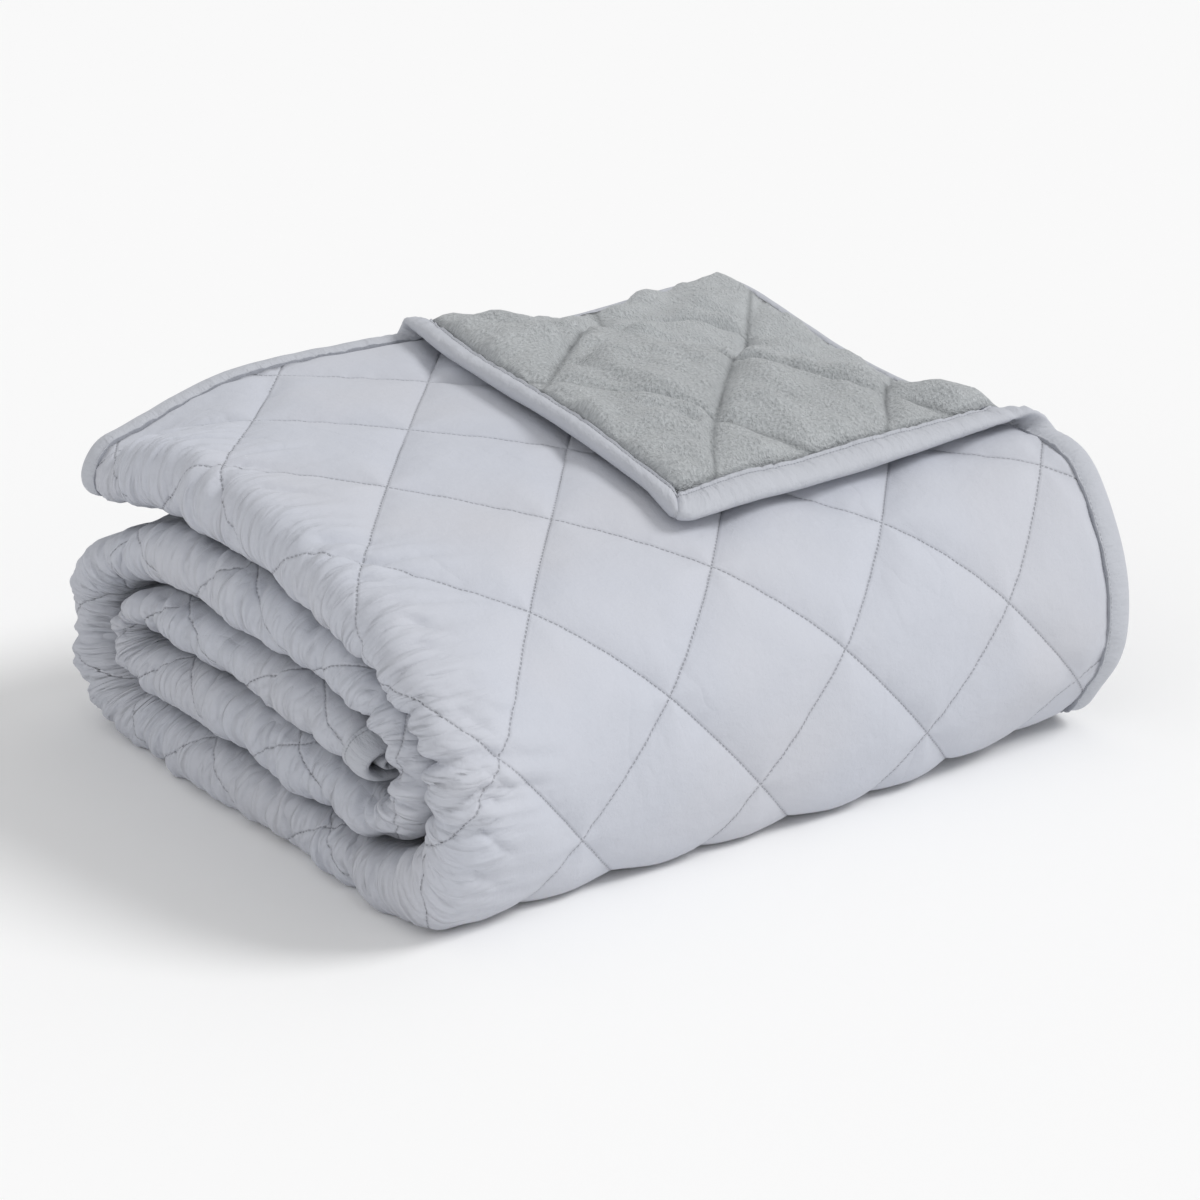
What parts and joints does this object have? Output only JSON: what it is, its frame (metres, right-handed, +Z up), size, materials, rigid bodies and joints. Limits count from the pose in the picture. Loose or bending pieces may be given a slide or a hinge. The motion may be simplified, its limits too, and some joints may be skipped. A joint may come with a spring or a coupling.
{
  "type": "quilted blanket",
  "caption": "Diamond-quilted blanket with a smooth face, plush back and bound edges, folded and rolled flat for display, one corner turned back.",
  "frame": {"origin": "middle of the footprint, on the floor", "axes": "+X along the roll, from the folded end to the bound end; +Y to the rear, where the free end lies; +Z up"},
  "size_m": [0.6434, 0.5412, 0.2609],
  "materials": {
    "face_cloth": "smooth brushed weave, light cool grey",
    "binding_cloth": "the same cloth, turned over the edges"
  },
  "bodies": {
    "root": {"quilt": "face_cloth", "binding_outer_side": "binding_cloth", "binding_inner_side": "binding_cloth", "binding_free_end": "binding_cloth", "binding_inner_end": "binding_cloth"}
  },
  "joints": []
}
